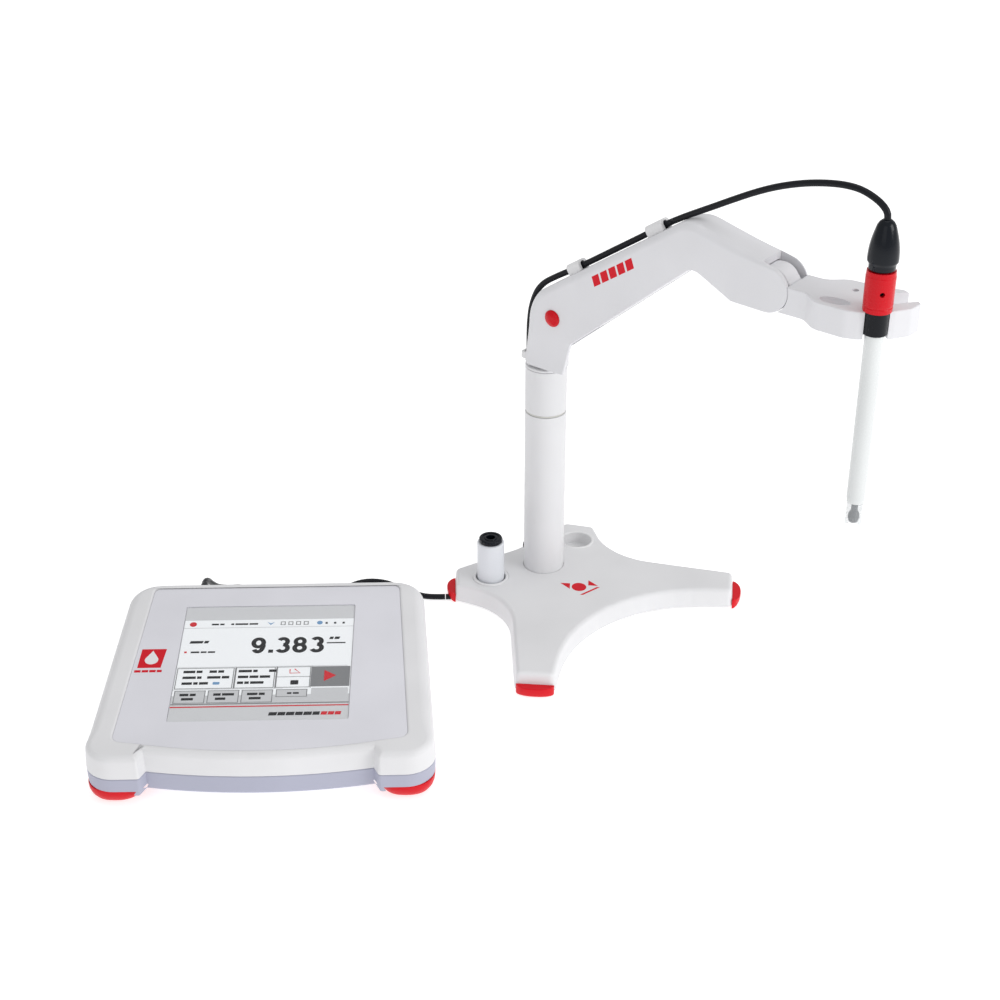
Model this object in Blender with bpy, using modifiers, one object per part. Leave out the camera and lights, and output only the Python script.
"""A bench pH meter with its electrode stand, as separate pieces on real joints.

Two units stand side by side: the meter with its sloping touch screen, and a stand whose hollow post carries a
cranked arm, an electrode holder and a combined pH electrode. Sizes are in millimetres and MM turns them into
Blender's metres. Each group of pieces is modelled in the coordinates of its own empty.
"""

from math import asin, atan2, cos, degrees, pi, radians, sin, sqrt, tan

import bmesh
import bpy
from mathutils import Matrix, Vector
from mathutils.geometry import interpolate_bezier

MM = 0.001
GAP = 0.3

# Places of the two units on the table: X to the right, Y away, origin under the middle of the whole.
POST_XY = (38.2, 102.3)
METER_XY = (-152.0, -169.5)
METER_YAW = radians(1.6)
STAR_YAW = radians(-51.3)
ARM_YAW = radians(-38.0)

# Meter
METER_HALF_FRONT = 115.5
METER_HALF_REAR = 106.0
METER_DEPTH = 183.0
TUB_BOTTOM = 8.6
TUB_TOP = 23.3
FRONT_HEIGHT = 39.7
TOP_SLOPE = radians(6.4)
HOUSING_WALL = 2.6
PANEL_DEPTH = 1.4
WINDOW_WIDTH = 120.0
WINDOW_DEPTH = 119.4
WINDOW_U = -3.0
WINDOW_V = 34.9
FOOT_RADIUS = 18.5
FOOT_HEIGHT = 13.5
REAR_PLATE_WIDTH = 150.0
REAR_PLATE_LOW = 25.6
REAR_PLATE_HIGH = 47.0
BNC_U = -60.0
BNC_Z = 33.0

# Stand base: corners of one half of the four-legged outline, as (along the axis, across it, fillet radius)
STAR_REAR = (-32.5, 0.0, 60.0)
STAR_HALF = [(-40.3, 57.0, 5.0), (-20.8, 71.6, 5.0), (20.4, 51.3, 50.0), (99.8, 110.4, 5.0), (120.2, 89.3, 5.0)]
STAR_FRONT = (42.2, 0.0, 112.0)
COVER_LOW = 2.4
COVER_TOP = 19.0
COVER_WALL = 2.6
RECESS_S = -11.0
RECESS_T = 44.0
CUP_INNER = 11.4
CUP_OUTER = 13.6
CUP_FLOOR = 8.0
TOE_HEIGHT = 8.2
TOE_DEPTH = 6.0
CABLE_EXIT_SHIFT = 6.2

# Post and arm, in the plane of the arm: r from the post's axis, z up
POST_OUTER = 15.5
POST_INNER = 12.5
SEAM_Z = 153.6
SLEEVE_TOP = 190.0
LIFT_PIVOT = (15.0, 236.0)
LEVEL_PIVOT = (184.2, 301.6)
LINK_DROP = 10.0
ARM_REAR = -9.5
ARM_HALF_WIDTH = 14.0
ARM_WALL = 2.5
TONGUE_HALF = 7.6
TONGUE_REAR = -4.2
BRACKET_FRONT_TOP = 205.0
LINK_INNER = 8.6
LINK_OUTER = 10.8
PIN_RADIUS = 3.4
LINK_PIN_RADIUS = 1.9
DISC_RADIUS = 16.0

# Holder and electrode
HOLDER_LOW = 288.0
HOLDER_TOP = 307.0
ELECTRODE_R = 262.0
ELECTRODE_S = 12.0
SLOT_RADIUS = 8.1
SLOT_TURN = radians(50.0)
SHAFT_RADIUS = 6.1
CABLE_RADIUS = 2.2

# Storage bottle
BOTTLE_RADIUS = 10.4
BOTTLE_TOP = 54.0
BOTTLE_MOUTH = 50.3

WHITE = (0.86, 0.86, 0.87, 1)
PANEL_WHITE = (0.80, 0.80, 0.84, 1)
BAND_GREY = (0.52, 0.52, 0.60, 1)
RED = (0.78, 0.01, 0.02, 1)
BLACK = (0.012, 0.013, 0.016, 1)
STEEL = (0.55, 0.56, 0.58, 1)


# ---------------------------------------------------------------- tools

def clear_scene():
    for thing in list(bpy.data.objects):
        bpy.data.objects.remove(thing, do_unlink=True)


def new_collection(name):
    made = bpy.data.collections.new(name)
    bpy.context.scene.collection.children.link(made)
    return made


def material(name, colour, roughness=0.4, metallic=0.0, transmission=0.0):
    made = bpy.data.materials.new(name)
    made.use_nodes = True
    shader = made.node_tree.nodes["Principled BSDF"]
    shader.inputs["Base Color"].default_value = colour
    shader.inputs["Roughness"].default_value = roughness
    shader.inputs["Metallic"].default_value = metallic
    shader.inputs["Transmission Weight"].default_value = transmission
    return made


def empty(name, place, turn=(0.0, 0.0, 0.0), parent=None):
    """A frame to build in; place is in millimetres in its parent's frame."""
    made = bpy.data.objects.new(name, None)
    made.location = Vector(place) * MM
    made.rotation_euler = turn
    made.parent = parent
    PARTS.objects.link(made)
    return made


def put(obj, frame, place=(0.0, 0.0, 0.0), turn=(0.0, 0.0, 0.0)):
    """Hang an object in a frame, with its own place there in millimetres."""
    obj.parent = frame
    obj.location = Vector(place) * MM
    obj.rotation_euler = turn
    return obj


def arc_corner(before, corner, after, radius, steps):
    """Points of a round corner between two straight runs."""
    p = Vector(corner)
    a = Vector(before) - p
    b = Vector(after) - p
    la, lb = a.length, b.length
    a.normalize()
    b.normalize()
    angle = a.angle(b)
    reach = min(radius / tan(angle / 2), 0.98 * la, 0.98 * lb)
    radius = reach * tan(angle / 2)
    if radius < 0.01:
        return [p]
    start = p + a * reach
    end = p + b * reach
    centre = p + (a + b).normalized() * radius / sin(angle / 2)
    first = atan2(start.y - centre.y, start.x - centre.x)
    sweep = atan2(end.y - centre.y, end.x - centre.x) - first
    sweep = (sweep + pi) % (2 * pi) - pi
    return [
        centre + radius * Vector((cos(first + sweep * i / steps), sin(first + sweep * i / steps)))
        for i in range(steps + 1)
    ]


def rounded(corners, steps=4):
    """An outline from corners given as (x, y) or (x, y, radius)."""
    points = []
    count = len(corners)
    for i, corner in enumerate(corners):
        radius = corner[2] if len(corner) > 2 else 0.0
        points += arc_corner(corners[i - 1][:2], corner[:2], corners[(i + 1) % count][:2], radius, steps)
    return points


def circle(x, y, radius, steps=24, first=0.0, last=2 * pi):
    """Points round a circle, or along an arc of it when last is given."""
    whole = abs(last - first - 2 * pi) < 1e-6
    count = steps if whole else steps + 1
    return [
        Vector((x + radius * cos(first + (last - first) * i / steps), y + radius * sin(first + (last - first) * i / steps)))
        for i in range(count)
    ]


def mesh_of(obj):
    """Turn a curve object into a mesh object with its caps welded."""
    graph = bpy.context.evaluated_depsgraph_get()
    mesh = bpy.data.meshes.new_from_object(obj.evaluated_get(graph))
    name = obj.name
    users = obj.users_collection[0]
    matrix = obj.matrix_world.copy()
    bpy.data.objects.remove(obj)
    work = bmesh.new()
    work.from_mesh(mesh)
    bmesh.ops.remove_doubles(work, verts=work.verts, dist=1e-6)
    bmesh.ops.recalc_face_normals(work, faces=work.faces)
    work.to_mesh(mesh)
    work.free()
    made = bpy.data.objects.new(name, mesh)
    made.matrix_world = matrix
    users.objects.link(made)
    return made


def plate(name, outline, low, high, coat=None, holes=(), group=None):
    """A flat outline in X and Y, raised from low to high along Z."""
    flat = bpy.data.curves.new(name, "CURVE")
    flat.dimensions = "2D"
    flat.fill_mode = "BOTH"
    flat.extrude = (high - low) / 2 * MM
    for loop in [outline, *holes]:
        line = flat.splines.new("POLY")
        line.points.add(len(loop) - 1)
        for point, spot in zip(line.points, loop):
            point.co = (spot[0] * MM, spot[1] * MM, 0.0, 1.0)
        line.use_cyclic_u = True
    obj = bpy.data.objects.new(name, flat)
    (group or PARTS).objects.link(obj)
    bpy.context.view_layer.update()
    made = mesh_of(obj)
    made.data.transform(Matrix.Translation((0, 0, (low + high) / 2 * MM)))
    if coat:
        made.data.materials.append(coat)
    return made


def side_plate(name, outline, near, far, coat=None, group=None):
    """A flat outline in the arm's plane (r, z), thick across it from s = near to s = far."""
    low, high = min(near, far), max(near, far)
    made = plate(name, outline, low, high, coat, group=group)
    made.data.transform(Matrix.Rotation(pi / 2, 4, "X"))
    return made


def turned(name, profile, coat=None, steps=24, group=None):
    """A round piece about Z from a profile of (radius, z), which runs down its outer side."""
    closed = profile[0][0] > 0
    mesh = bpy.data.meshes.new(name)
    spots = [(r * MM, 0.0, z * MM) for r, z in profile]
    edges = [(i, i + 1) for i in range(len(spots) - 1)]
    if closed:
        edges.append((len(spots) - 1, 0))
    mesh.from_pydata(spots, edges, [])
    made = bpy.data.objects.new(name, mesh)
    (group or PARTS).objects.link(made)
    screw = made.modifiers.new("Turn", "SCREW")
    screw.steps = steps
    screw.render_steps = steps
    screw.use_merge_vertices = True
    screw.merge_threshold = 0.00001
    screw.use_smooth_shade = True
    if coat:
        mesh.materials.append(coat)
    return made


def rod(name, radius, low, high, coat=None, steps=24, group=None):
    """A plain round bar along Z."""
    return turned(name, [(0, high), (radius, high), (radius, low), (0, low)], coat, steps, group)


def ring(name, outer, inner, low, high, coat=None, steps=24, group=None):
    return turned(name, [(outer, high), (outer, low), (inner, low), (inner, high)], coat, steps, group)


def box(name, size, centre, coat=None, edge=0.0, group=None):
    """A box, with its edges rounded when edge is given."""
    work = bmesh.new()
    bmesh.ops.create_cube(work, size=1.0)
    bmesh.ops.scale(work, vec=Vector(size) * MM, verts=work.verts)
    bmesh.ops.translate(work, vec=Vector(centre) * MM, verts=work.verts)
    mesh = bpy.data.meshes.new(name)
    work.to_mesh(mesh)
    work.free()
    made = bpy.data.objects.new(name, mesh)
    (group or PARTS).objects.link(made)
    if edge:
        soften(made, edge)
    if coat:
        mesh.materials.append(coat)
    return made


def soften(obj, width, segments=2, angle=radians(40)):
    bevel = obj.modifiers.new("Edges", "BEVEL")
    bevel.width = width * MM
    bevel.segments = segments
    bevel.limit_method = "ANGLE"
    bevel.angle_limit = angle


def tube(name, points, radius, coat, group=None):
    """A cable along a smooth curve through points, given in millimetres."""
    path = smooth_path(points, 2.6 * radius * 2)
    curve = bpy.data.curves.new(name, "CURVE")
    curve.dimensions = "3D"
    curve.bevel_depth = radius * MM
    curve.bevel_resolution = 2
    curve.use_fill_caps = True
    line = curve.splines.new("POLY")
    line.points.add(len(path) - 1)
    for point, spot in zip(line.points, path):
        point.co = (*(spot * MM), 1.0)
    curve.materials.append(coat)
    made = bpy.data.objects.new(name, curve)
    (group or PARTS).objects.link(made)
    return made


def smooth_path(points, step):
    """Points a step apart along a smooth curve through the given ones, ends kept."""
    spots = [Vector(p) for p in points]
    slopes = []
    for i, spot in enumerate(spots):
        before = spots[max(i - 1, 0)]
        after = spots[min(i + 1, len(spots) - 1)]
        slopes.append((after - before).normalized())
    dense = []
    for i in range(len(spots) - 1):
        reach = (spots[i + 1] - spots[i]).length / 3
        piece = interpolate_bezier(
            spots[i], spots[i] + slopes[i] * reach, spots[i + 1] - slopes[i + 1] * reach, spots[i + 1], 24
        )
        dense += piece if i == 0 else piece[1:]
    run = [0.0]
    for a, b in zip(dense, dense[1:]):
        run.append(run[-1] + (b - a).length)
    count = max(2, round(run[-1] / step))
    path = []
    spot = 0
    for i in range(count + 1):
        aim = run[-1] * i / count
        while spot < len(run) - 2 and run[spot + 1] < aim:
            spot += 1
        share = (aim - run[spot]) / (run[spot + 1] - run[spot])
        path.append(dense[spot].lerp(dense[spot + 1], min(max(share, 0.0), 1.0)))
    return path


def cut(obj, cutter, operation="DIFFERENCE"):
    """Cut a piece by another in the same frame, or join it to one."""
    cutter.hide_render = True
    cutter.display_type = "WIRE"
    if cutter.parent is None:
        cutter.parent = obj.parent
    step = obj.modifiers.new(operation.title(), "BOOLEAN")
    step.operation = operation
    step.object = cutter
    step.solver = "EXACT"
    return obj


def side_rod(name, spot, radius, near, far, coat=None, group=None, steps=24):
    """A round bar across the arm's plane at (r, z)."""
    return side_plate(name, circle(spot[0], spot[1], radius, steps), near, far, coat, group)


def to_side(s):
    """The arm frame's Y of a place s towards the near side."""
    return -s


# ---------------------------------------------------------------- meter

def front_bulge(offset=0.0):
    """The bowed middle of the meter's front, from right to left."""
    half = 74.0
    return [(u, 7.0 * (u / half) ** 2 + offset) for u in (-74.0, -56.0, -38.0, -19.0, 0.0, 19.0, 38.0, 56.0, 74.0)]


def meter_outline(inset=0.0):
    """The meter's plan, seen from above, going round anticlockwise."""
    front = METER_HALF_FRONT - inset
    rear = METER_HALF_REAR - inset
    step = 77.5 + 0.6 * inset
    near = -1.0 + inset
    far = METER_DEPTH - inset
    right = [(step, near, 1.5), (front, near, 20.0 - inset), (rear, far, 22.0 - inset)]
    left = [(-rear, far, 22.0 - inset), (-front, near, 20.0 - inset), (-step, near, 1.5)]
    bow = [(u * (1 + 0.004 * inset), v) for u, v in front_bulge(inset)]
    return rounded(bow + right + left, 5)


def top_height(v):
    """Height of the meter's sloping top, v behind its front."""
    return FRONT_HEIGHT + tan(TOP_SLOPE) * v


def wedge(name, inset, low, drop, bevel_width, coat=None, group=None):
    """The housing's block under the sloping top, with its upper edge rounded."""
    made = plate(name, meter_outline(inset), low, low + 10.0, coat, group=group)
    work = bmesh.new()
    work.from_mesh(made.data)
    top = [v for v in work.verts if v.co.z > (low + 5.0) * MM]
    for vert in top:
        vert.co.z = (top_height(vert.co.y / MM) - drop) * MM
    rim = [
        e for e in work.edges
        if all(v in top for v in e.verts) and any(abs(f.normal.z) < 0.3 for f in e.link_faces)
    ]
    bmesh.ops.dissolve_limit(work, angle_limit=radians(0.5), verts=work.verts, edges=work.edges)
    rim = [
        e for e in work.edges
        if all(v.co.z > (low + 5.0) * MM for v in e.verts) and any(abs(f.normal.z) < 0.3 for f in e.link_faces)
        and any(f.normal.z > 0.9 for f in e.link_faces)
    ]
    bmesh.ops.bevel(work, geom=rim, offset=bevel_width * MM, segments=3, profile=0.5, affect="EDGES",
                    clamp_overlap=True)
    work.to_mesh(made.data)
    work.free()
    return made


def panel_outline(inset=0.0):
    """The panel on the meter's top: a trapezoid with a bowed front."""
    front = [(u, 6.5 + inset + 7.0 * (u / 74.0) ** 2) for u in (-80.0, -60.0, -40.0, -20.0, 0.0, 20.0, 40.0, 60.0, 80.0)]
    side = [(96.5 - inset, 17.5 + inset, 6.0), (88.0 - inset, 175.0 - inset, 5.0)]
    back = [(-88.0 + inset, 175.0 - inset, 5.0), (-96.5 + inset, 17.5 + inset, 6.0)]
    return rounded(front + side + back, 3)


def rectangle(u, v, width, depth, radius=0.0):
    """A rectangle from its lower left corner."""
    return rounded([(u, v, radius), (u + width, v, radius), (u + width, v + depth, radius), (u, v + depth, radius)], 3)


def build_meter(frame, panel_frame):
    tub = plate("lower_housing", meter_outline(), TUB_BOTTOM, TUB_TOP, GREY_PLASTIC)
    put(tub, frame)
    hollow = plate("cut_tub", meter_outline(HOUSING_WALL), FOOT_HEIGHT + 2.8, TUB_TOP + 5.0, group=CUTTERS)
    cut(tub, put(hollow, frame))
    long_well = box("cut_well_long", (144, 164, 20), (0, 96, TUB_BOTTOM + HOUSING_WALL + 10), group=CUTTERS)
    cut(tub, put(long_well, frame))
    wide_well = box("cut_well_wide", (204, 96, 20), (0, 92, TUB_BOTTOM + HOUSING_WALL + 10), group=CUTTERS)
    cut(tub, put(wide_well, frame))

    foot_spots = {
        "foot_front_left": (-95.0, 19.0),
        "foot_front_right": (95.0, 19.0),
        "foot_rear_left": (-84.5, 160.5),
        "foot_rear_right": (84.5, 160.5),
    }
    for name, (u, v) in foot_spots.items():
        pad = turned(name, [(0, FOOT_HEIGHT), (FOOT_RADIUS, FOOT_HEIGHT), (FOOT_RADIUS - 0.6, 9.0),
                            (FOOT_RADIUS - 3.0, 4.5), (FOOT_RADIUS - 6.5, 1.2), (FOOT_RADIUS - 9.0, 0.0), (0, 0)],
                     RED_RUBBER, 24)
        put(pad, frame, (u, v, 0))
        pocket = rod("cut_" + name, 23.5, 0, FOOT_HEIGHT + GAP, group=CUTTERS, steps=32)
        cut(tub, put(pocket, frame, (u, v, 0)))

    shell = wedge("upper_housing", 0.0, TUB_TOP + GAP, 0.0, 7.0, WHITE_PLASTIC)
    put(shell, frame)
    room = wedge("cut_shell_room", HOUSING_WALL, TUB_TOP - 5.0, HOUSING_WALL + 0.4, 4.5, group=CUTTERS)
    cut(shell, put(room, frame))
    recess = plate("cut_panel_recess", panel_outline(-GAP), -PANEL_DEPTH, 5.0, group=CUTTERS)
    cut(shell, put(recess, panel_frame))
    view = plate("cut_view", rectangle(WINDOW_U - 57, WINDOW_V + 18, 114, 88, 1.0), -12.0, 6.0, group=CUTTERS)
    cut(shell, put(view, panel_frame))
    middle = (REAR_PLATE_LOW + REAR_PLATE_HIGH) / 2
    doorway = box("cut_rear_opening", (REAR_PLATE_WIDTH + 2 * GAP, 12, REAR_PLATE_HIGH - REAR_PLATE_LOW + 2 * GAP),
                  (0, METER_DEPTH, middle), group=CUTTERS)
    cut(shell, put(doorway, frame))

    window_hole = rectangle(WINDOW_U - WINDOW_WIDTH / 2 - GAP, WINDOW_V - GAP, WINDOW_WIDTH + 2 * GAP,
                            WINDOW_DEPTH + 2 * GAP, 1.5)
    film = plate("touch_panel_frame", panel_outline(), -PANEL_DEPTH + GAP, 0.0, PANEL_PLASTIC, holes=[window_hole])
    put(film, panel_frame)
    window = plate("display_window", rectangle(WINDOW_U - WINDOW_WIDTH / 2, WINDOW_V, WINDOW_WIDTH, WINDOW_DEPTH, 1.5),
                   -PANEL_DEPTH + GAP, 0.0, GLASS)
    put(window, panel_frame)
    lcd = box("lcd_module", (126, 98, 6.0), (WINDOW_U, WINDOW_V + 62.0, -HOUSING_WALL - 4.2), SCREEN, 0.5)
    put(lcd, panel_frame)

    board = box("main_board", (184, 86, 1.6), (0, 92, 17.6), BOARD_GREEN)
    put(board, frame)
    shield = box("electrode_input_shield", (44, 24, 6.0), (-58, 118, 18.4 + GAP + 3.0), METAL, 0.6)
    put(shield, frame)

    sheet = box("rear_panel", (REAR_PLATE_WIDTH, 2.2, REAR_PLATE_HIGH - REAR_PLATE_LOW),
                (0, METER_DEPTH - 1.6, middle), GREY_PLASTIC, 0.4)
    put(sheet, frame)
    build_sockets(frame, METER_DEPTH - 0.5 + GAP)


def build_sockets(frame, face):
    """The sockets on the rear panel; face is how far back its outer side is."""
    back = (-pi / 2, 0.0, 0.0)
    bnc = turned("bnc_socket", [(0, 12), (4.7, 12), (4.7, 1.6), (6.8, 1.6), (6.8, 0), (0, 0)], METAL, 24)
    put(bnc, frame, (BNC_U, face, BNC_Z), back)
    jack = turned("reference_socket", [(0, 6), (3.4, 6), (3.4, 1.4), (5.0, 1.4), (5.0, 0), (0, 0)], METAL, 20)
    put(jack, frame, (BNC_U + 22, face, BNC_Z), back)
    probe = turned("temperature_socket", [(0, 1.0), (3.2, 1.0), (3.2, 5), (5.5, 5), (5.5, 0), (0, 0)], BLACK_PLASTIC, 20)
    put(probe, frame, (BNC_U + 40, face, BNC_Z), back)
    boxes = (
        ("serial_socket", 2.0, 31.0, 12.4, 5.5, METAL),
        ("usb_host_socket", 31.0, 14.0, 7.4, 4.0, METAL),
        ("usb_device_socket", 48.0, 12.4, 11.2, 4.0, METAL),
        ("power_socket", 64.0, 9.4, 11.0, 4.0, BLACK_PLASTIC),
    )
    for name, u, width, height, depth, coat in boxes:
        block = box(name, (width, depth, height), (0, depth / 2, 0), coat)
        put(block, frame, (u, face, BNC_Z + 3.0))
        mouth = box("cut_" + name, (width - 2.4, 3.0, height - 2.4), (0, depth, 0), group=CUTTERS)
        cut(block, put(mouth, frame, (u, face, BNC_Z + 3.0)))


# ---------------------------------------------------------------- stand base

def grown(points, distance):
    """An outline moved outwards by distance (inwards when negative), as mitred offsets of its points."""
    count = len(points)
    moved = []
    for i, p in enumerate(points):
        a = (p - points[i - 1])
        b = (points[(i + 1) % count] - p)
        if a.length < 1e-6 or b.length < 1e-6:
            continue
        na = Vector((a.y, -a.x)).normalized()
        nb = Vector((b.y, -b.x)).normalized()
        mid = (na + nb).normalized()
        moved.append(p + mid * distance / max(mid.dot(na), 0.4))
    return moved


def star_outline(inset=0.0, steps=6):
    """The base's plan, going round anticlockwise; a deep inset starts from rounder corners."""
    rounder = max(0.0, inset - 3.0)
    right = [(s, -t, r + rounder) for s, t, r in STAR_HALF]
    left = [(s, -t, r) for s, t, r in reversed(right)]
    return grown(rounded([STAR_REAR, *right, STAR_FRONT, *left], steps), -inset)


def leg_ends():
    """Name, middle, direction and half width of each leg's end face."""
    (s1, t1, _), (s2, t2, _), _, (s4, t4, _), (s5, t5, _) = STAR_HALF
    rear = ((s1 + s2) / 2, (t1 + t2) / 2, atan2(s2 - s1, t1 - t2), sqrt((s2 - s1) ** 2 + (t2 - t1) ** 2) / 2)
    front = ((s4 + s5) / 2, (t4 + t5) / 2, atan2(s5 - s4, t4 - t5), sqrt((s5 - s4) ** 2 + (t5 - t4) ** 2) / 2)
    ends = []
    for name, (s, t, turn, half_width), side in (
        ("toe_cap_left", rear, -1), ("toe_cap_back", rear, 1), ("toe_cap_front", front, -1), ("toe_cap_right", front, 1)
    ):
        ends.append((name, s, side * t, side * turn, half_width))
    return ends


def build_base(frame):
    cover = plate("base_cover", star_outline(), COVER_LOW, COVER_TOP, WHITE_PLASTIC)
    put(cover, frame)
    columns = [circle(RECESS_S, side * RECESS_T, CUP_OUTER, 28) for side in (-1, 1)]
    room = plate("cut_base_room", star_outline(COVER_WALL), -5.0, COVER_TOP - COVER_WALL, holes=columns, group=CUTTERS)
    cut(cover, put(room, frame))
    weight = plate("base_weight", star_outline(COVER_WALL + 3.0), COVER_LOW + 2.6, 13.0, METAL)
    put(weight, frame)
    floor = plate("base_plate", star_outline(COVER_WALL + 0.5), COVER_LOW, COVER_LOW + 2.2, GREY_PLASTIC)
    put(floor, frame)
    for side, label in ((-1, "left"), (1, "back")):
        spot = (RECESS_S, side * RECESS_T, 0)
        under = rod("cut_under_cup_" + label, CUP_OUTER + 0.5, -5.0, CUP_FLOOR - 2.0, group=CUTTERS, steps=28)
        cut(cover, put(under, frame, spot))
        well = rod("cut_cup_well_" + label, CUP_INNER, CUP_FLOOR, COVER_TOP + 5.0, group=CUTTERS, steps=28)
        cut(cover, put(well, frame, spot))
        clear = rod("cut_weight_" + label, CUP_OUTER + 0.5, -5.0, 30.0, group=CUTTERS, steps=28)
        cut(weight, put(clear, frame, spot))
    post_hole = rod("cut_post_hole", POST_OUTER + GAP, COVER_TOP - 8.0, COVER_TOP + 8.0, group=CUTTERS, steps=32)
    cut(cover, put(post_hole, frame))
    for piece, label in ((weight, "weight"), (floor, "floor")):
        middle_hole = rod(f"cut_{label}_middle", 13.5, -5.0, 30.0, group=CUTTERS, steps=24)
        cut(piece, put(middle_hole, frame))
    for name, s, t, turn, half_width in leg_ends():
        wide = half_width - 0.8
        pad = plate(name, rounded([(GAP, -wide), (TOE_DEPTH - 1.5, -wide + 1.0, 3.5), (TOE_DEPTH + 0.6, 0, 40),
                                   (TOE_DEPTH - 1.5, wide - 1.0, 3.5), (GAP, wide)], 4), 0.0, TOE_HEIGHT, RED_RUBBER)
        soften(pad, 1.6)
        put(pad, frame, (s, t, 0), (0, 0, turn))
        if name == "toe_cap_left":
            build_cable_channel(frame, cover, floor, pad)


def cable_way():
    """The cable's bend under the base and its way out, as places (s, t), and the way out's direction."""
    _, s, t, turn, _ = leg_ends()[0]
    out = Vector((cos(turn), sin(turn)))
    exit_spot = Vector((s, t)) + Vector((-out.y, out.x)) * CABLE_EXIT_SHIFT
    return exit_spot - out * 22.0, exit_spot, out


def build_cable_channel(frame, cover, floor, pad):
    """The way out of the cable, low under the base from the post to the left leg's end."""
    knee, exit_spot, out = cable_way()
    first = atan2(knee.y, knee.x)
    runs = (((0.0, 0.0), first, knee.length + 2.0), (tuple(knee), atan2(out.y, out.x), 40.0))
    for i, (start, way, length) in enumerate(runs):
        groove = box(f"cut_groove_{i + 1}", (length, 7.6, 9.0), (length / 2, 0, 1.0), group=CUTTERS)
        cut(floor, put(groove, frame, (*start, 0), (0, 0, way)))
    mouth = box("cut_cable_mouth", (30.0, 5.4, 10.2), (22.0, 0, 0), group=CUTTERS)
    place = (*knee, 0)
    cut(cover, put(mouth, frame, place, (0, 0, atan2(out.y, out.x))))
    cap_mouth = box("cut_cap_mouth", (30.0, 5.4, 10.2), (22.0, 0, 0), group=CUTTERS)
    cut(pad, put(cap_mouth, frame, place, (0, 0, atan2(out.y, out.x))))


# ---------------------------------------------------------------- post, head and arm

def arm_outline():
    """The arm from the side: a cranked bar with a round end at the holder's pivot."""
    q_r, q_z = LEVEL_PIVOT
    turns = [radians(-93.0 + 8.3 * i) for i in range(21)]
    return rounded([
        (ARM_REAR, 193.5, 5.5),
        (24.5, 193.5, 2.5),
        (31.0, 219.5, 5.0),
        (128.0, 302.0, 8.0),
        (158.5, 286.5, 7.0),
        *((q_r + DISC_RADIUS * cos(a), q_z + DISC_RADIUS * sin(a)) for a in turns),
        (122.0, 334.5, 24.0),
        (ARM_REAR, arm_top(ARM_REAR), 30.0),
    ], 6)


def build_post(frame):
    post = ring("lower_post", POST_OUTER, POST_INNER, 13.3, SEAM_Z - GAP, WHITE_PLASTIC, 36)
    put(post, frame)
    put(ring("friction_washer", POST_OUTER - 0.6, 12.6, SEAM_Z, SEAM_Z + 1.0, BLACK_PLASTIC, 36), frame)
    put(ring("swivel_bush", 12.1, 8.5, SEAM_Z - 16, SEAM_Z + 14, BAND_PLASTIC, 28), frame)


def build_head(frame):
    """The upper sleeve and the bracket on it, which turn together on the post."""
    sleeve = ring("upper_sleeve", POST_OUTER, POST_INNER, SEAM_Z + 1.3, SLEEVE_TOP, WHITE_PLASTIC, 36)
    put(sleeve, frame)
    bracket = side_plate("arm_bracket", rounded([
        (TONGUE_REAR, 190.6), (15.2, 190.6), (15.2, 212.0, 6.0), (26.0, 226.0, 9.0), (25.0, 247.5, 10.0),
        (5.0, 247.5, 10.0), (TONGUE_REAR, 224.0, 12.0)
    ], 5), -TONGUE_HALF, TONGUE_HALF, WHITE_PLASTIC)
    put(bracket, frame)
    disc = rod("cut_bracket_disc", POST_OUTER, SLEEVE_TOP + GAP, SLEEVE_TOP + 1.9, group=CUTTERS, steps=36)
    cut(bracket, put(disc, frame), "UNION")
    across = ARM_HALF_WIDTH - ARM_WALL - 0.4
    turn = asin(across / POST_OUTER)
    front = circle(0, 0, POST_OUTER, 14, -turn, turn) + [Vector((TONGUE_REAR, across)), Vector((TONGUE_REAR, -across))]
    collar = plate("cut_bracket_front", front, SLEEVE_TOP + 1.0, BRACKET_FRONT_TOP, group=CUTTERS)
    cut(bracket, put(collar, frame), "UNION")
    plug = rod("cut_bracket_plug", POST_INNER - GAP, SLEEVE_TOP - 10.0, SLEEVE_TOP + 1.0, group=CUTTERS, steps=30)
    cut(bracket, put(plug, frame), "UNION")
    for piece, label in ((bracket, "bracket"), (sleeve, "sleeve")):
        slot = box("cut_cable_" + label, (14.0, 5.8, 19.0), (-13.6, 0, 185.6), group=CUTTERS)
        cut(piece, put(slot, frame))
    for name, spot, radius in (("lift", LIFT_PIVOT, PIN_RADIUS), ("link", link_spot(LIFT_PIVOT), LINK_PIN_RADIUS)):
        bore = side_rod("cut_bracket_" + name, spot, radius + 0.15, -20, 20, group=CUTTERS)
        cut(bracket, put(bore, frame))
    put(side_rod("link_pin_rear", link_spot(LIFT_PIVOT), LINK_PIN_RADIUS, -TONGUE_HALF + 0.5, LINK_OUTER, METAL), frame)
    clip = box("post_cable_clip", (8.0, 9.6, 5.4), (-16.2, 0, 194.9), WHITE_PLASTIC, 0.8)
    put(clip, frame)
    channel = box("cut_post_clip", (9.0, 5.4, 9.0), (-14.1, 0, 194.9), group=CUTTERS)
    cut(clip, put(channel, frame))


def link_spot(pivot):
    return (pivot[0], pivot[1] - LINK_DROP)


def moving(obj, axis_empty, origin):
    """Hang a piece modelled in the arm's plane on the empty of its joint, whose place is (r, 0, z)."""
    return put(obj, axis_empty, (-origin[0], -origin[1], -origin[2]))


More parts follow.
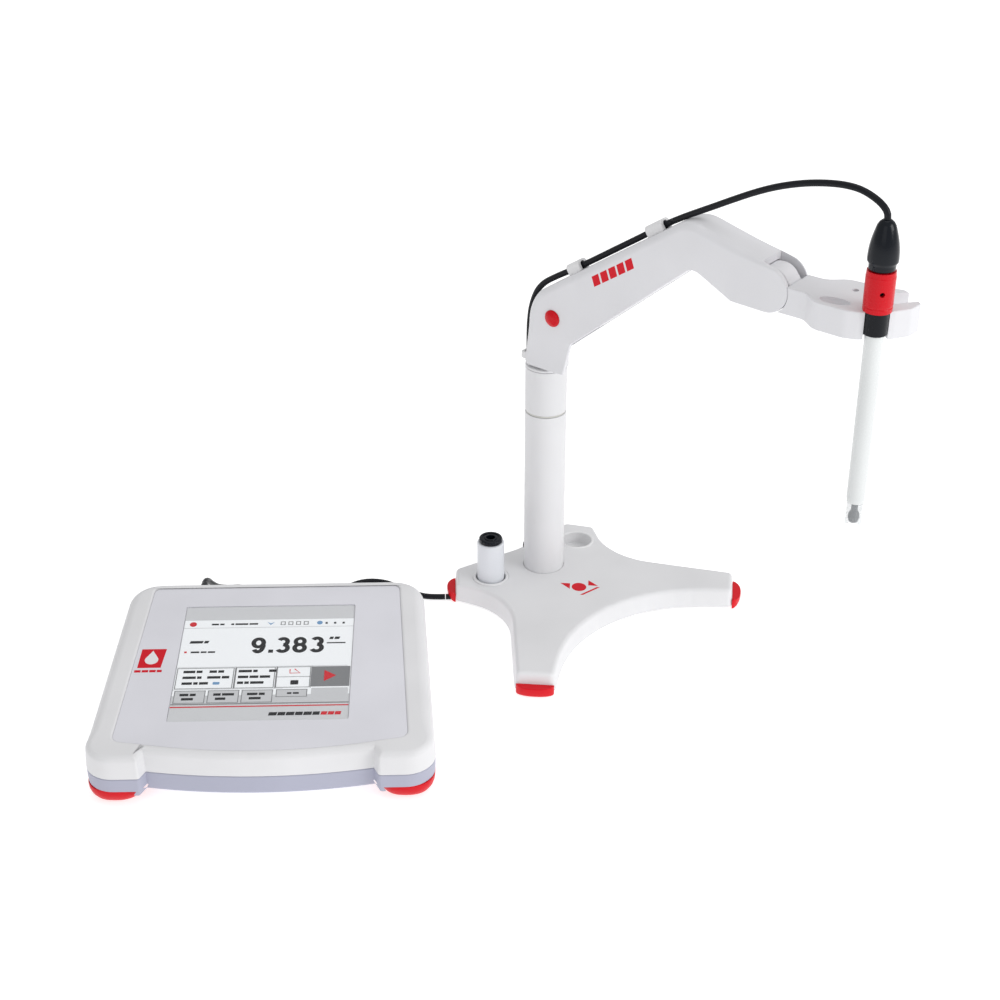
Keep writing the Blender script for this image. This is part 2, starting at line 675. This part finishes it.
def build_arm(axis):
    origin = (LIFT_PIVOT[0], 0.0, LIFT_PIVOT[1])
    arm = side_plate("arm_shell", arm_outline(), -ARM_HALF_WIDTH, ARM_HALF_WIDTH, WHITE_PLASTIC)
    soften(arm, 3.0)
    moving(arm, axis, origin)
    w = ARM_WALL
    inner = ARM_HALF_WIDTH - w
    room = side_plate("cut_arm_room", rounded([
        (ARM_REAR + w, 180.0), (40.0, 180.0), (126.0, 292.0), (127.0, 305.5, 8.0), (159.0, 289.3, 5.0), (181.0, 289.3),
        (181.0, 314.0), (122.5, 331.3, 22.0), (ARM_REAR + w, 244.0, 27.0)
    ], 5), -inner, inner, group=CUTTERS)
    cut(arm, moving(room, axis, origin))
    fork = side_plate("cut_arm_fork", rounded([
        (157.0, 270.0), (215.0, 270.0), (215.0, 340.0), (179.5, 340.0), (179.5, 300.0), (157.0, 300.0)
    ]), -inner - 0.25, inner + 0.25, group=CUTTERS)
    cut(arm, moving(fork, axis, origin))
    notch = side_plate("cut_arm_notch", rounded([(-20.0, 180.0), (-6.0, 180.0), (-6.0, 204.0), (-20.0, 204.0)]),
                       -5.8, 5.8, group=CUTTERS)
    cut(arm, moving(notch, axis, origin))
    far_side = side_plate("cut_arm_far_side", rounded([(9.0, 180.0), (40.0, 180.0), (40.0, 227.2), (9.0, 200.8)]),
                          -20.0, -TONGUE_HALF - GAP, group=CUTTERS)
    cut(arm, moving(far_side, axis, origin))
    for name, spot in (("lift", LIFT_PIVOT), ("level", LEVEL_PIVOT)):
        bore = side_rod("cut_arm_" + name, spot, PIN_RADIUS + GAP, -20, 20, group=CUTTERS)
        cut(arm, moving(bore, axis, origin))
    run = Vector((97.0, 82.5)).normalized()
    inward = Vector((-run.y, run.x))
    start = Vector((31.0, 219.5)) + run * 20.0 + inward * 0.3
    end = Vector((128.0, 302.0)) - run * 11.0 + inward * 0.3
    lid = side_plate("arm_underside_cover", [start, end, end + inward * 2.2, start + inward * 2.2],
                     -inner + GAP, inner - GAP, WHITE_PLASTIC)
    moving(lid, axis, origin)
    reach = ARM_HALF_WIDTH - 0.5
    moving(side_rod("rear_hinge_pin", LIFT_PIVOT, PIN_RADIUS, -reach, reach, METAL), axis, origin)
    moving(side_rod("front_hinge_pin", LEVEL_PIVOT, PIN_RADIUS, -reach, reach, METAL), axis, origin)
    for name, side in (("hinge_cap_near", 1), ("hinge_cap_far", -1)):
        cap = turned(name, [(0, 1.9), (4.6, 1.7), (6.2, 1.0), (6.6, 0.2), (6.6, 0), (0, 0)], RED_PLASTIC, 24)
        put(cap, axis, (0, -side * (ARM_HALF_WIDTH + GAP), 0), (side * pi / 2, 0, 0))
    slope = atan2(0.6767, 1.0)
    for name, r, length in (("arm_cable_clip_rear", 28.0, 12.0), ("arm_cable_clip_front", 93.5, 15.0)):
        bridge = box(name, (length, 11.0, 7.4), (0, 0, 3.7 + GAP), WHITE_PLASTIC, 1.0)
        place = (r - origin[0], 0, arm_top(r) - origin[2])
        put(bridge, axis, place, (0, -slope, 0))
        slot = box("cut_" + name, (length + 4, 5.4, 7.4), (0, 0, 2.5), group=CUTTERS)
        cut(bridge, put(slot, axis, place, (0, -slope, 0)))


def arm_top(r):
    """Height of the arm's straight upper edge."""
    return 334.5 + (334.5 - 244.5) / 133.0 * (r - 122.0)


def build_link(axis):
    """The second bar of the parallelogram, bent like the arm it runs in."""
    rear = link_spot(LIFT_PIVOT)
    front = link_spot(LEVEL_PIVOT)
    origin = (rear[0], 0.0, rear[1])
    line = [Vector(rear), Vector((121.0, 313.0)), Vector((168.0, 290.0)), Vector(front)]
    bar = side_plate("leveling_link", band_outline(line, 3.3), LINK_INNER, LINK_OUTER, METAL)
    moving(bar, axis, origin)
    for name, spot in (("rear", rear), ("front", front)):
        bore = side_rod("cut_link_" + name, spot, LINK_PIN_RADIUS + GAP, 0, 20, group=CUTTERS, steps=16)
        cut(bar, moving(bore, axis, origin))


def band_outline(line, half):
    """A bar of constant width along a bent line, with round ends."""
    ways = [(b - a).normalized() for a, b in zip(line, line[1:])]
    start = atan2(ways[0].y, ways[0].x)
    stop = atan2(ways[-1].y, ways[-1].x)
    sides = []
    for spot, before, after in zip(line[1:], ways, ways[1:]):
        left = Vector((-before.y, before.x))
        mid = (left + Vector((-after.y, after.x))).normalized()
        sides.append((spot, mid * half / mid.dot(left)))
    head = circle(line[-1].x, line[-1].y, half, 8, stop - pi / 2, stop + pi / 2)
    tail = circle(line[0].x, line[0].y, half, 8, start + pi / 2, start + 3 * pi / 2)
    return head + [spot + side for spot, side in reversed(sides)] + tail + [spot - side for spot, side in sides]


# ---------------------------------------------------------------- holder and electrode

def slot_spot(side, out, across):
    """A place by one of the holder's two slots: out along its opening, across it towards the nose."""
    r = ELECTRODE_R + out * cos(SLOT_TURN) + across * sin(SLOT_TURN)
    s = ELECTRODE_S + out * sin(SLOT_TURN) - across * cos(SLOT_TURN)
    return (r, side * s)


def holder_outline():
    """The holder's plan as (r, s): a neck that widens into a head with two slots and a nose between them."""
    near_jaw = [(*slot_spot(1, 2.0, -11.6), 1.2), slot_spot(1, 2.0, -7.0)]
    near_nose = [(*slot_spot(1, 2.5, 7.0), 0.0), (*slot_spot(1, 1.5, 11.6), 2.0)]
    far_nose = [(278.0, -4.0, 6.0), (*slot_spot(-1, 13.0, 11.0), 2.0), (*slot_spot(-1, 13.0, 7.0), 0.0)]
    far_jaw = [(*slot_spot(-1, 13.0, -7.0), 0.0), (*slot_spot(-1, 12.0, -12.0), 2.0)]
    points = [
        (190.0, 14.0), (190.0, -14.0), (213.0, -14.0, 7.0), (224.0, -23.5, 10.0), (243.0, -24.5, 12.0),
        *reversed(far_jaw), *reversed(far_nose), *reversed(near_nose), *reversed(near_jaw),
        (246.0, 24.0, 9.0), (224.0, 23.5, 10.0), (213.0, 14.0, 7.0)
    ]
    return rounded([(p[0], -p[1], *p[2:]) for p in points][::-1], 4)


def build_holder(axis):
    origin = (LEVEL_PIVOT[0], 0.0, LEVEL_PIVOT[1])
    q = LEVEL_PIVOT
    holder = plate("electrode_holder", holder_outline(), HOLDER_LOW, HOLDER_TOP, WHITE_PLASTIC)
    moving(holder, axis, origin)
    seat = side_rod("cut_holder_seat", q, DISC_RADIUS + 0.5, -20, 20, group=CUTTERS, steps=48)
    cut(holder, moving(seat, axis, origin))
    for side, label in ((1, "near"), (-1, "far")):
        r, s = slot_spot(side, 0.0, 0.0)
        throat = plate("cut_slot_" + label, circle(0, 0, SLOT_RADIUS, 24), 270.0, 320.0, group=CUTTERS)
        cut(holder, put(throat, axis, (r - origin[0], to_side(s), -origin[2])))
        mouth = box("cut_mouth_" + label, (40.0, 2 * SLOT_RADIUS - 1.0, 50.0), (20.0, 0, 295.0), group=CUTTERS)
        turn = -side * SLOT_TURN
        cut(holder, put(mouth, axis, (r - origin[0], to_side(s), -origin[2]), (0, 0, turn)))
    probe = rod("cut_probe_hole", 2.3, 270.0, 320.0, group=CUTTERS, steps=14)
    cut(holder, put(probe, axis, (236.0 - origin[0], to_side(-9.0), -origin[2])))
    pocket = box("cut_pocket", (17.0, 6.0, 12.0), (0, 0, 0), group=CUTTERS)
    cut(holder, put(pocket, axis, (236.0 - origin[0], to_side(14.0), HOLDER_TOP - origin[2]), (0, 0, radians(6))))
    knuckle = side_plate("cut_knuckle", rounded([
        (q[0] - 13.2, q[1] - 13.2, 13.0), (q[0] + 4.0, q[1] - 13.2), (205.0, HOLDER_LOW + 1.5),
        (205.0, HOLDER_TOP - 1.5), (q[0] + 13.2, q[1] + 3.6, 6.0), (q[0] + 9.0, q[1] + 13.2, 12.0),
        (q[0] - 13.2, q[1] + 13.2, 13.0)
    ], 6), -TONGUE_HALF, TONGUE_HALF, group=CUTTERS)
    cut(holder, moving(knuckle, axis, origin), "UNION")
    bore = side_rod("cut_holder_level", q, PIN_RADIUS + 0.15, -20, 20, group=CUTTERS)
    cut(holder, moving(bore, axis, origin))
    link_bore = side_rod("cut_holder_link", link_spot(q), LINK_PIN_RADIUS + 0.15, -20, 20, group=CUTTERS, steps=16)
    cut(holder, moving(link_bore, axis, origin))
    pin = side_rod("link_pin_front", link_spot(q), LINK_PIN_RADIUS, -TONGUE_HALF + 0.5, LINK_OUTER, METAL, steps=16)
    moving(pin, axis, origin)


def build_electrode(axis, collar_axis):
    origin = (LEVEL_PIVOT[0], 0.0, LEVEL_PIVOT[1])
    place = (ELECTRODE_R - origin[0], to_side(ELECTRODE_S), -origin[2])
    pieces = (
        ("electrode_shaft", [(0, 291.5), (SHAFT_RADIUS, 291.5), (SHAFT_RADIUS, 173.0), (5.4, 171.6), (0, 171.6)], CLEAR_WHITE),
        ("electrode_head", [(0, 334.5), (5.8, 334.5), (5.8, 306.9), (7.7, 306.9), (7.7, 291.8), (0, 291.8)], BLACK_PLASTIC),
        ("electrode_boot", [(0, 365.2), (3.0, 365.2), (4.6, 363.9), (6.4, 361.0), (7.9, 356.0), (8.9, 350.5),
                            (9.5, 345.0), (9.7, 341.0), (8.7, 339.0), (8.3, 334.8), (0, 334.8)], BLACK_RUBBER),
        ("electrode_guard", [(6.0, 171.3), (6.0, 160.0), (5.0, 153.0), (4.1, 153.0), (5.0, 160.0), (5.0, 171.3)], CLEAR),
        ("glass_bulb", [(0, 171.2), (2.2, 171.2), (2.2, 165.0), (3.5, 162.6), (3.9, 160.0), (3.2, 157.2), (1.6, 155.6),
                        (0, 155.2)], DARK_GLASS),
    )
    made = {}
    for name, profile, coat in pieces:
        made[name] = put(turned(name, profile, coat, 24), axis, place)
    for turn in (0.0, pi / 2):
        slit = box(f"cut_guard_{round(degrees(turn))}", (2.6, 30.0, 16.0), (0, 0, 150.0), group=CUTTERS)
        cut(made["electrode_guard"], put(slit, axis, place, (0, 0, turn + 0.4)))
    collar = turned("refill_collar", [(9.5, 334.0), (9.2, 307.3), (6.1, 307.3), (6.1, 334.0)], RED_PLASTIC, 30)
    put(collar, collar_axis)
    port = rod("cut_refill_port", 1.5, 5.0, 12.0, group=CUTTERS, steps=12)
    cut(collar, put(port, collar_axis, (0, 0, 321.0), (radians(90), 0, radians(38))))


# ---------------------------------------------------------------- bottle and cable

def build_bottle(axis):
    bottle = turned("storage_bottle", [(0, 9.8), (9.2, 10.0), (9.2, BOTTLE_MOUTH - 3.3), (8.2, BOTTLE_MOUTH - 2.0),
                                       (8.2, BOTTLE_MOUTH), (9.8, BOTTLE_MOUTH), (BOTTLE_RADIUS, BOTTLE_MOUTH - 0.8),
                                       (BOTTLE_RADIUS, 9.2), (9.6, 8.4), (0, 8.4)], CLEAR_WHITE, 28)
    put(bottle, axis)


def build_bottle_cap(axis):
    cap = turned("bottle_cap", [(3.2, BOTTLE_TOP), (8.5, BOTTLE_TOP), (8.9, BOTTLE_TOP - 0.5), (8.9, BOTTLE_MOUTH + GAP),
                                (7.9, BOTTLE_MOUTH + GAP), (7.9, BOTTLE_MOUTH - 6.0), (3.2, BOTTLE_MOUTH - 6.0)],
                 BLACK_RUBBER, 28)
    put(cap, axis)


# The electrode's cable, in the arm's plane as (r, s, z)
HEAD_ROUTE = [
    (-15.8, 0, 199.5), (-15.8, 0, 195.5), (-14.6, 0, 190.0), (-12.0, 0, 184.0), (-8.5, 0, 177.5), (-5.0, 0, 171.0),
    (-2.0, 0, 164.5), (-0.4, 0, 159.0), (0, 0, 154.3)
]
SHOULDER_ROUTE = [
    (-15.8, 0, 200.0), (-15.8, 0, 212.0), (-15.4, 0, 222.0), (-13.9, 0, 233.0), (-9.6, 0, 245.5), (-3.0, 0, 254.0),
    (7.0, 0, 261.3), (20.0, 0, 269.3)
]
POST_ROUTE = [(0, 0, 153.9), (0, 0, 120.0), (0, 0, 80.0), (0, 0, 45.0)]
ARM_ROUTE = [(20.45, 0, 269.65), (35.4, 0, 279.3), (58.0, 0, 294.6), (81.0, 0, 310.2), (92.0, 0, 318.0), (103.0, 0, 325.2)]
ARC_ROUTE = [
    (103.5, 0.05, 325.55), (111.0, 0.8, 330.0), (120.5, 1.8, 335.4), (136.0, 3.2, 344.0), (151.0, 4.5, 352.4),
    (165.5, 5.7, 360.2), (179.5, 6.9, 366.9), (193.0, 8.0, 372.2), (206.5, 9.0, 376.4), (220.0, 9.9, 379.4),
    (231.8, 10.7, 380.9), (242.0, 11.3, 380.6), (250.8, 11.8, 378.2), (257.6, 12.0, 374.6), (261.3, 12.0, 370.6),
    (262.0, 12.0, 366.7)
]
# The free length on the table, from the left toe cap to the meter's rear, measured from the post
FREE_ROUTE = [
    (-76.8, -22.8, 2.35), (-84.0, -22.9, 2.35), (-93.0, -21.8, 2.35), (-104.0, -16.0, 2.35), (-115.0, -8.0, 2.35),
    (-127.0, -1.5, 2.35), (-141.0, -1.0, 2.35), (-153.0, -9.0, 2.35), (-160.5, -24.0, 2.35), (-167.0, -41.0, 2.35),
    (-178.0, -53.0, 2.35), (-192.0, -54.5, 2.35), (-203.0, -45.0, 2.35), (-211.0, -29.0, 2.35), (-222.0, -15.0, 2.35),
    (-236.0, -9.5, 2.6), (-246.5, -12.0, 4.0), (-252.6, -19.5, 9.5), (-255.2, -29.0, 18.0), (-256.4, -39.5, 27.6),
    (-256.8, -47.0, 31.9), (-257.0, -52.3, 32.9)
]


def in_plane(route):
    return [(r, to_side(s), z) for r, s, z in route]


def build_cables(frame, head, arm_axis, table):
    origin = (LIFT_PIVOT[0], 0.0, LIFT_PIVOT[1])
    put(tube("cable_in_head", in_plane(HEAD_ROUTE), CABLE_RADIUS, BLACK_RUBBER), head)
    moving(tube("cable_shoulder", in_plane(SHOULDER_ROUTE), CABLE_RADIUS, BLACK_RUBBER), arm_axis, origin)
    moving(tube("cable_on_arm", in_plane(ARM_ROUTE), CABLE_RADIUS, BLACK_RUBBER), arm_axis, origin)
    moving(tube("cable_arc", in_plane(ARC_ROUTE), CABLE_RADIUS, BLACK_RUBBER), arm_axis, origin)
    knee, exit_spot, out = cable_way()
    way = knee.normalized()
    low = CABLE_RADIUS + 0.15
    bend = [(way.x * reach, way.y * reach, z) for reach, z in ((0, 25.0), (0.6, 14.0), (4.2, 6.4), (11.0, low + 0.3), (20.0, low))]
    ends = [knee * 0.8, exit_spot - out * 12.0, exit_spot, exit_spot + out * (TOE_DEPTH + 1.2)]
    run = [(spot.x, spot.y, low) for spot in ends]
    put(tube("cable_in_post", POST_ROUTE + bend + run, CABLE_RADIUS, BLACK_RUBBER), frame)
    put(tube("cable_free", FREE_ROUTE, CABLE_RADIUS, BLACK_RUBBER), table)


def build_plug(frame):
    """The cable's plug on the meter's socket, with its bayonet ring."""
    back = (-pi / 2, 0.0, 0.0)
    place = (BNC_U, METER_DEPTH - 0.2, BNC_Z)
    nut = turned("plug_ring", [(7.0, 15.5), (7.2, 14.5), (7.2, 3.0), (5.2, 3.0), (5.2, 15.5)], METAL, 28)
    put(nut, frame, place, back)
    body = turned("plug_body", [(0, 37.5), (2.9, 37.5), (3.6, 27.0), (4.8, 25.5), (4.8, 12.6), (0, 12.6)], BLACK_RUBBER, 24)
    put(body, frame, place, back)


# ---------------------------------------------------------------- assembly

clear_scene()
PARTS = new_collection("ph_meter")
CUTTERS = new_collection("cutters")
WHITE_PLASTIC = material("white_plastic", WHITE, 0.42)
PANEL_PLASTIC = material("panel_plastic", PANEL_WHITE, 0.5)
GREY_PLASTIC = material("grey_plastic", BAND_GREY, 0.5)
BAND_PLASTIC = material("bush_plastic", (0.7, 0.7, 0.68, 1), 0.5)
RED_RUBBER = material("red_rubber", RED, 0.55)
RED_PLASTIC = material("red_plastic", RED, 0.35)
BLACK_PLASTIC = material("black_plastic", BLACK, 0.35)
BLACK_RUBBER = material("black_rubber", BLACK, 0.5)
METAL = material("metal", STEEL, 0.3, 1.0)
BOARD_GREEN = material("board", (0.02, 0.16, 0.07, 1), 0.5)
SCREEN = material("screen", (0.75, 0.78, 0.8, 1), 0.2)
GLASS = material("window_glass", (0.9, 0.92, 0.95, 1), 0.1, 0.0, 0.6)
CLEAR_WHITE = material("translucent_white", (0.85, 0.87, 0.87, 1), 0.3)
CLEAR = material("clear_plastic", (0.85, 0.88, 0.9, 1), 0.1, 0.0, 0.8)
DARK_GLASS = material("sensing_glass", (0.08, 0.09, 0.1, 1), 0.1)

table = empty("table", (*POST_XY, 0))
meter_frame = empty("meter_frame", (*METER_XY, 0), (0, 0, METER_YAW))
panel_frame = empty("panel_frame", (0, 0, FRONT_HEIGHT), (TOP_SLOPE, 0, 0), meter_frame)
stand_frame = empty("stand_frame", (*POST_XY, 0), (0, 0, STAR_YAW))
swivel_axis = empty("swivel_axis", (*POST_XY, SEAM_Z), (0, 0, ARM_YAW))
lift_axis = empty("lift_axis", (LIFT_PIVOT[0], 0, LIFT_PIVOT[1] - SEAM_Z), parent=swivel_axis)
link_axis = empty("link_axis", (LIFT_PIVOT[0], 0, LIFT_PIVOT[1] - LINK_DROP - SEAM_Z), parent=swivel_axis)
level_axis = empty("level_axis", (LEVEL_PIVOT[0] - LIFT_PIVOT[0], 0, LEVEL_PIVOT[1] - LIFT_PIVOT[1]), parent=lift_axis)
collar_place = (ELECTRODE_R - LEVEL_PIVOT[0], to_side(ELECTRODE_S), -LEVEL_PIVOT[1])
collar_axis = empty("collar_axis", collar_place, parent=level_axis)
bottle_axis = empty("bottle_axis", (RECESS_S, -RECESS_T, 0), parent=stand_frame)
HEAD_SPOT = (0.0, 0.0, -SEAM_Z)
head_frame = empty("head_frame", HEAD_SPOT, parent=swivel_axis)

build_meter(meter_frame, panel_frame)
build_plug(meter_frame)
build_base(stand_frame)
build_post(stand_frame)
build_head(head_frame)
build_arm(lift_axis)
build_link(link_axis)
build_holder(level_axis)
build_electrode(level_axis, collar_axis)
build_bottle(bottle_axis)
build_bottle_cap(bottle_axis)
build_cables(stand_frame, head_frame, lift_axis, table)
for piece in PARTS.objects:
    if piece.type == "MESH":
        piece.data.shade_smooth()
        piece.data.set_sharp_from_angle(angle=radians(35))
